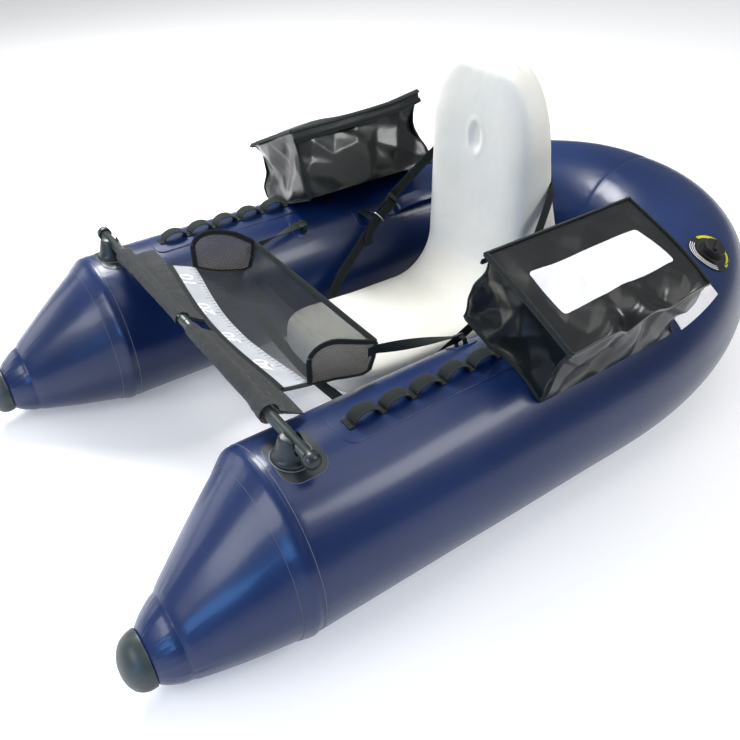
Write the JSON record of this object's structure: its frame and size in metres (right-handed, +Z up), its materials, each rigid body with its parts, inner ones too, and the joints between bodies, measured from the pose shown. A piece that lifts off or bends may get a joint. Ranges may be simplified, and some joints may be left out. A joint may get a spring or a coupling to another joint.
{
  "type": "float tube",
  "caption": "U-shaped inflatable float tube with pointed bows, foam seat, front bar with mesh apron, tie rails and side bags",
  "frame": {"origin": "on the floor, midway across the tubes and midway between bow tips and stern", "axes": "+X to the sitter's left, +Y to the stern, +Z up"},
  "size_m": [1.01, 1.616, 0.6571],
  "materials": {
    "navy_pvc": "coated fabric, satin gloss",
    "nose_rubber": "moulded, dull",
    "patch_pvc": "coated fabric, dull",
    "nylon": "moulded, satin",
    "black_webbing": "woven webbing",
    "black_tarpaulin": "coated cloth, satin",
    "white_foam": "closed-cell foam with a woven-look skin",
    "black_mesh": "open mesh cloth",
    "strip_white": "printed strip",
    "bar_metal": "dark grey, satin",
    "nickel_wire": "plated wire",
    "valve_plastic": "moulded, satin"
  },
  "bodies": {
    "hull": {"side_tube_left": "navy_pvc", "side_tube_right": "navy_pvc", "stern_quarter_left": "navy_pvc", "stern_quarter_right": "navy_pvc", "bow_cone_left": "navy_pvc", "bow_cone_right": "navy_pvc", "nose_band_left": "navy_pvc", "nose_band_right": "navy_pvc", "nose_cap_left": "nose_rubber", "nose_cap_right": "nose_rubber", "clip_patch_left": "patch_pvc", "clip_patch_right": "patch_pvc", "bar_clip_left": "nylon", "bar_clip_right": "nylon", "rail_patch_left": "navy_pvc", "rail_patch_right": "navy_pvc", "tie_rail_left": "black_webbing", "tie_rail_right": "black_webbing", "bag_body_left": "black_tarpaulin", "bag_body_right": "black_tarpaulin", "bag_pad_left": "black_webbing", "bag_pad_right": "black_webbing", "bag_tie_left": "black_webbing", "bag_tie_right": "black_webbing", "apron_anchor_left": "navy_pvc", "apron_anchor_right": "navy_pvc", "seat": "white_foam", "back_strap": "black_webbing", "under_strap": "black_webbing", "front_sling": "black_webbing", "strap_buckle_left": "nylon", "strap_buckle_right": "nylon", "strap_tail_left": "black_webbing", "strap_tail_right": "black_webbing", "strap_ring_left": "nickel_wire", "strap_ring_right": "nickel_wire", "ring_anchor_left": "navy_pvc", "ring_anchor_right": "navy_pvc", "grab_handle_left": "navy_pvc", "grab_handle_right": "navy_pvc", "valve_body_left": "valve_plastic", "valve_body_right": "valve_plastic"},
    "bar": {"bar_half_left": "bar_metal", "bar_half_right": "bar_metal", "bar_knob_left": "nylon", "bar_knob_right": "nylon", "bar_spigot": "bar_metal"},
    "apron": {"apron_sleeve": "black_mesh", "apron_pouch": "black_mesh", "measuring_strip": "strip_white", "apron_strap_left": "black_webbing", "apron_strap_right": "black_webbing"},
    "lid_left": {"bag_lid_left": "black_tarpaulin"},
    "cap_left": {"valve_cap_left": "valve_plastic"},
    "stem_left": {"valve_stem_left": "valve_plastic"},
    "lid_right": {"bag_lid_right": "black_tarpaulin"},
    "cap_right": {"valve_cap_right": "valve_plastic"},
    "stem_right": {"valve_stem_right": "valve_plastic"}
  },
  "joints": [
    {"name": "bar_lift", "type": "slide", "parent": "hull", "child": "bar", "axis": [0, 0, 1], "range_m": [0, 0.11]},
    {"name": "apron_swing", "type": "hinge", "parent": "bar", "child": "apron", "pos_m": [0, -0.49, 0.337], "axis": [1, 0, 0], "range_deg": [0, 95]},
    {"name": "lid_left_open", "type": "hinge", "parent": "hull", "child": "lid_left", "pos_m": [0.503, 0.076, 0.4074], "axis": [0, 1, 0], "range_deg": [0, 110]},
    {"name": "lid_right_open", "type": "hinge", "parent": "hull", "child": "lid_right", "pos_m": [-0.4975, 0.076, 0.404], "axis": [0, -1, 0], "range_deg": [0, 110]},
    {"name": "valve_cap_left_turn", "type": "hinge", "parent": "hull", "child": "cap_left", "pos_m": [0.34685, 0.48616, 0.3119], "axis": [0.4022, 0.1047, 0.9095], "range_deg": [0, 90]},
    {"name": "valve_cap_right_turn", "type": "hinge", "parent": "hull", "child": "cap_right", "pos_m": [-0.34685, 0.48616, 0.3119], "axis": [-0.4022, 0.1047, 0.9095], "range_deg": [0, 90]},
    {"name": "valve_stem_left_push", "type": "slide", "parent": "hull", "child": "stem_left", "axis": [-0.4022, -0.1047, -0.9095], "range_m": [0, 0.0025], "stiffness_N_per_m": 250, "springref_m": -0.004},
    {"name": "valve_stem_right_push", "type": "slide", "parent": "hull", "child": "stem_right", "axis": [0.4022, -0.1047, -0.9095], "range_m": [0, 0.0025], "stiffness_N_per_m": 250, "springref_m": -0.004}
  ]
}
